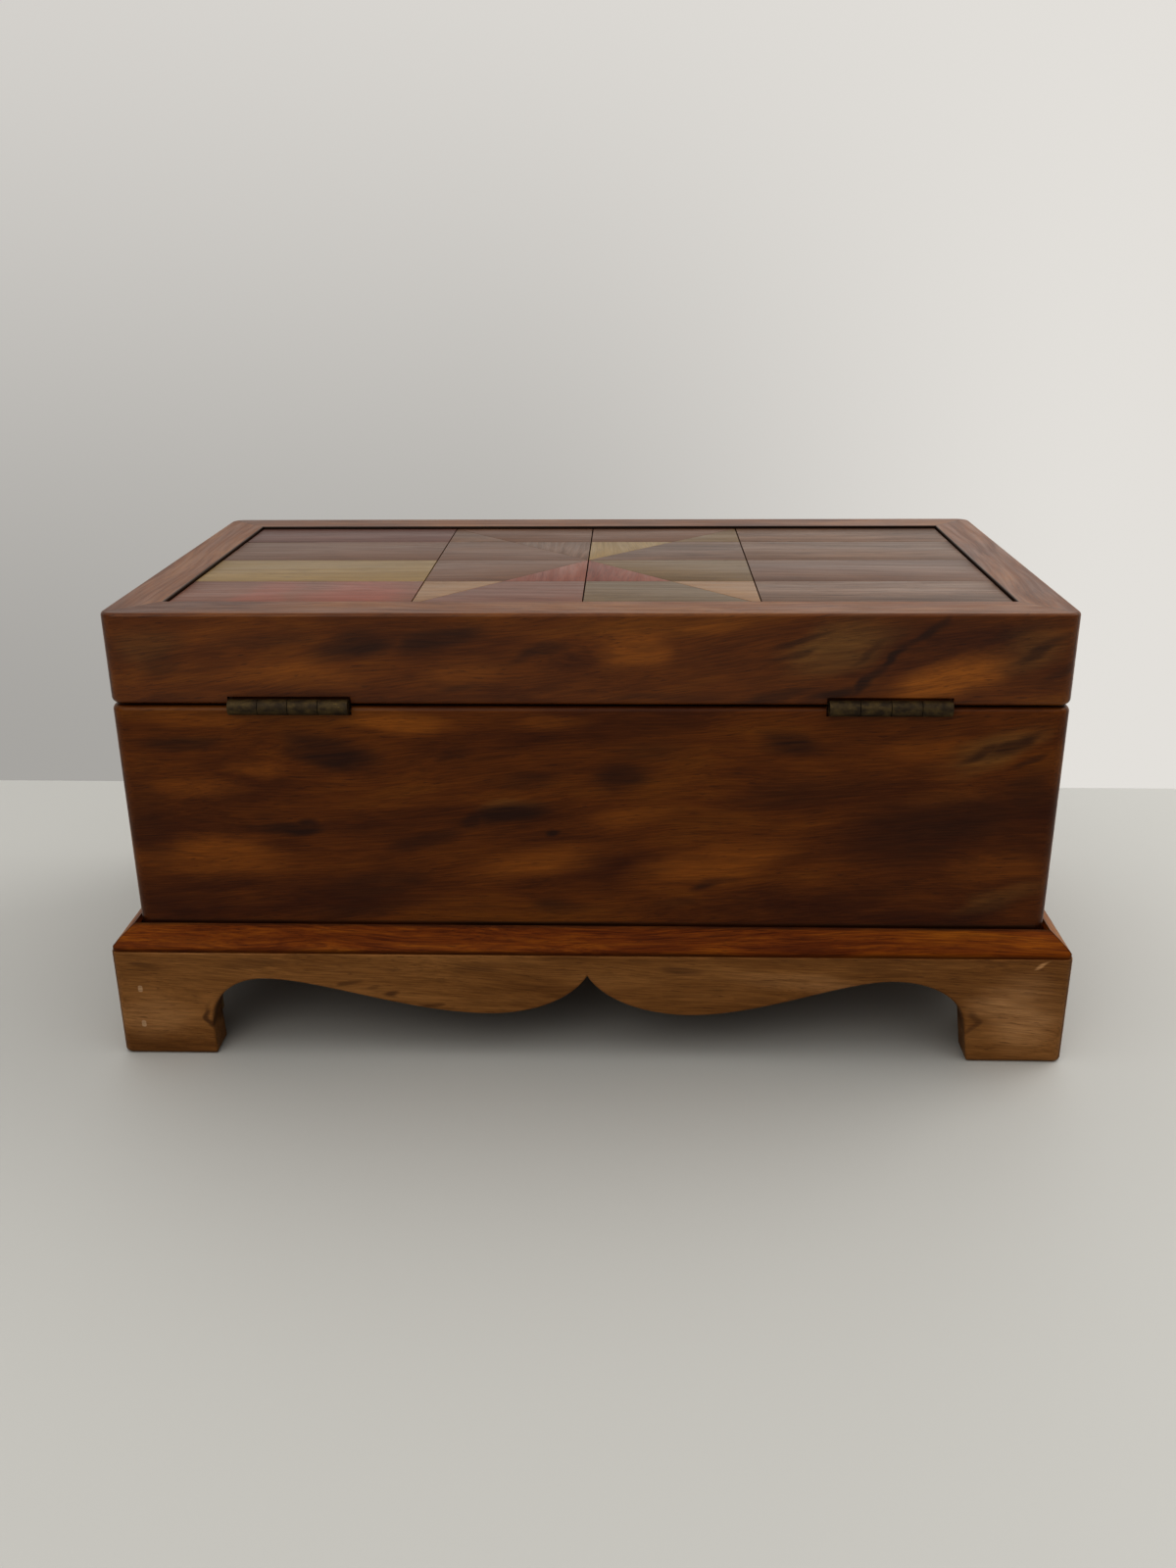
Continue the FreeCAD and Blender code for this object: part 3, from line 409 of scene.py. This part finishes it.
REDDENED = (0.210, 0.050, 0.0260)
CROSS_GRAINED = ("inner_2", "inner_3")  # the triangles round the centre have their grain towards it
inlay_nodes = sorted(node for node in NODES if node.startswith("inlay_"))
for seed, node in enumerate(inlay_nodes, start=30):
    slot = SLOT_OF[node]
    figured = slot == "inlay_figured_brown"
    grain_wood = wood(
        f"{node}_wood", INLAY_WOODS[slot], along="Y" if node.endswith(CROSS_GRAINED) else "X", seed=seed,
        shine=0.5, rough=0.38, streak=2.4 if figured else 1.6, pores=0.9 if figured else 0.5,
        contrast=0.85 if figured else 0.7, ember=NEAR_STRIP_RED if node == "inlay_right_strip_1" else (),
        glow=REDDENED,
    )
    eased_board(node.replace("inlay", "offcut"), node, 0.00009, grain_wood)

# ---- Hinges ------------------------------------------------------------------------------------------
# Two small butt hinges in cast brass gone brown, let in flush at the seam. Each leaf is rolled round a
# riveted pin, and two slotted countersunk screws hold it.
BRASS_TONES = [(0.034, 0.0205, 0.0085), (0.082, 0.054, 0.0185), (0.260, 0.185, 0.0640)]


def old_brass(name, seed, clean):
    """Brass under brown tarnish, rubbed bright where hands and the other leaf touch it."""
    material = bpy.data.materials.new(name)
    material.use_nodes = True
    tree = material.node_tree
    shader = tree.nodes["Principled BSDF"]
    here, _ = place_in_mm(tree)
    blotch = noise(tree, here, (0.35, 0.5, 0.5), 4.0, 0.6, seed)
    scratch = noise(tree, here, (0.9, 5.0, 5.0), 3.0, 0.7, seed + 1)
    share = sums(tree, "MULTIPLY_ADD", scratch, 0.4, sums(tree, "MULTIPLY", blotch, 0.6))
    share = spread(tree, share, 0.62 - clean, 0.80 - clean)
    colour = tint(tree, spread(tree, blotch, 0.35, 0.65), BRASS_TONES[0], BRASS_TONES[1])
    colour = tint(tree, share, colour, BRASS_TONES[2])
    tree.links.new(colour, shader.inputs["Base Color"])
    tree.links.new(spread(tree, share, 0.0, 1.0, 0.58, 0.34), shader.inputs["Roughness"])
    tree.links.new(spread(tree, share, 0.0, 1.0, 0.35, 0.9), shader.inputs["Metallic"])
    bump = add(tree, "ShaderNodeBump", 0.5, RELIEF, None, scratch)
    tree.links.new(bump, shader.inputs["Normal"])
    return material


leaf_brass = old_brass("leaf_brass", 61, 0.04)
screw_brass = old_brass("screw_brass", 65, 0.10)
for node in sorted(NODES):
    if "hinge" in node or node in ("lid_keepers", "keeper_screws"):
        finish(node, screw_brass if "screws" in node else leaf_brass)

# ---- Nails and filler ----------------------------------------------------------------------------------
# Two brads pin the mitre of the back right foot. Their heads were punched in and the slots stopped with
# a pale filler, which has stayed lighter than the wood.
FILLER_TONES = [(0.300, 0.190, 0.1100), (0.380, 0.250, 0.1500), (0.440, 0.300, 0.1900)]
finish("nail_filler", wood("filler_paste", FILLER_TONES, seed=70, rough=0.75, shine=0.15, pores=0.3))
finish("mitre_nails", old_brass("nail_wire", 71, 0.02))

# ---- Desk, wall, light and camera ------------------------------------------------------------------------
# A pale desk against a pale wall, in soft light from one side and above. The wall is one-sided, so that
# it never hides the box, and it glows more in the lid's varnish than it does to the eye.
WALL_AT = -0.1415


def plain(name, colour, rough=0.8):
    material = bpy.data.materials.new(name)
    material.use_nodes = True
    shader = material.node_tree.nodes["Principled BSDF"]
    shader.inputs["Base Color"].default_value = (*colour, 1.0)
    shader.inputs["Roughness"].default_value = rough
    return material


def sheet(name, width, height, place, turn, material):
    mesh = bmesh.new()
    bmesh.ops.create_grid(mesh, x_segments=1, y_segments=1, size=0.5,
                          matrix=place @ turn @ Matrix.Diagonal((width, height, 1.0, 1.0)))
    data = bpy.data.meshes.new(name)
    mesh.to_mesh(data)
    mesh.free()
    data.materials.append(material)
    made = bpy.data.objects.new(name, data)
    bpy.context.scene.collection.objects.link(made)
    return made


sheet("desk", 8.0, 8.0, Matrix(), Matrix(), plain("desk_laminate", (0.48, 0.480, 0.466), 0.6))

wall_paint = bpy.data.materials.new("wall_paint")
wall_paint.use_nodes = True
tree = wall_paint.node_tree
tree.nodes.clear()
here, _ = place_in_mm(tree)
x = add(tree, "ShaderNodeSeparateXYZ", here, out="X")
z = add(tree, "ShaderNodeSeparateXYZ", here, out="Z")
# The wall glows with painted light: brighter towards -X, with a painted shadow low on the +X side.
side_light = spread(tree, x, 330.0, -260.0, 0.50, 0.56)
low = spread(tree, z, 0.0, 360.0, 0.64, 1.0)
low = tint(tree, spread(tree, x, -200.0, 60.0), (1.0, 1.0, 1.0), low)
paint = tint(tree, 1.0, low, side_light, "MULTIPLY")
paint = tint(tree, 1.0, paint, (1.0, 0.975, 0.935), "MULTIPLY")
mirrored = add(tree, "ShaderNodeLightPath", out="Is Glossy Ray")
lit = add(tree, "ShaderNodeEmission", paint, sums(tree, "MULTIPLY_ADD", mirrored, 0.42, 1.0))
clear = add(tree, "ShaderNodeBsdfTransparent", (1.0, 1.0, 1.0, 1.0))
behind = add(tree, "ShaderNodeNewGeometry", out="Backfacing")
both = add(tree, "ShaderNodeMixShader", behind, lit, clear)
tree.links.new(both, tree.nodes.new("ShaderNodeOutputMaterial").inputs["Surface"])
skew = Matrix.Rotation(math.radians(-0.45), 4, "Z")  # the box stands a little askew to the wall
upright = Matrix.Rotation(-math.pi / 2, 4, "X")
wall = sheet("wall", 8.0, 4.0, Matrix.Translation((0, WALL_AT, 2.0)) @ skew, upright, wall_paint)
wall.visible_diffuse = False  # the wall is seen, and mirrored in the lid, but lights and shades nothing
wall.visible_shadow = False

world = bpy.data.worlds.new("room")
bpy.context.scene.world = world
world.use_nodes = True
tree = world.node_tree
sky = tree.nodes["Background"]
look = add(tree, "ShaderNodeTexCoord", out="Generated")
ahead = spread(tree, add(tree, "ShaderNodeSeparateXYZ", look, out="Y"), 0.35, -0.75, 0.27, 0.33)
overhead = spread(tree, add(tree, "ShaderNodeSeparateXYZ", look, out="Z"), 0.2, 1.0, 0.0, 0.70)
level = sums(tree, "ADD", ahead, overhead)
seen = add(tree, "ShaderNodeLightPath", out="Is Camera Ray")
level = sums(tree, "MAXIMUM", level, sums(tree, "MULTIPLY", seen, 0.58))
tree.links.new(level, sky.inputs["Strength"])
sky.inputs["Color"].default_value = (1.0, 0.985, 0.955, 1.0)


def soft_light(name, place, aim, size, power, colour):
    data = bpy.data.lights.new(name, "AREA")
    data.shape = "DISK"
    data.size = size
    data.energy = power
    data.color = colour
    made = bpy.data.objects.new(name, data)
    bpy.context.scene.collection.objects.link(made)
    made.location = place
    made.rotation_mode = "QUATERNION"
    made.rotation_quaternion = (Vector(aim) - Vector(place)).to_track_quat("-Z", "Y")


soft_light("window", (-0.85, -0.35, 0.95), (0.0, 0.0, 0.05), 0.8, 3.5, (1.0, 0.985, 0.95))
soft_light("room_fill", (0.5, 1.3, 0.9), (0.0, 0.0, 0.08), 1.0, 3.0, (1.0, 0.96, 0.90))

EYE = Vector((-0.01214, 0.41027, 0.21500))
YAW, PITCH, ROLL = 0.0340, 0.3710, -0.0080
FOCAL_SHARE = 0.876  # focal length as a share of the frame's long side
toward = Vector((math.sin(YAW) * math.cos(PITCH), -math.cos(YAW) * math.cos(PITCH), -math.sin(PITCH)))
camera = bpy.data.objects.new("camera", bpy.data.cameras.new("camera"))
camera.data.sensor_width = 36.0
camera.data.lens = 36.0 * FOCAL_SHARE
camera.data.clip_start = 0.01
camera.data.clip_end = 50.0
camera.rotation_mode = "QUATERNION"
camera.location = EYE
camera.rotation_quaternion = toward.to_track_quat("-Z", "Y") @ Matrix.Rotation(ROLL, 3, "Z").to_quaternion()
bpy.context.scene.collection.objects.link(camera)
bpy.context.scene.camera = camera
bpy.context.scene.view_settings.view_transform = "Standard"
bpy.context.scene.view_settings.look = "High Contrast"
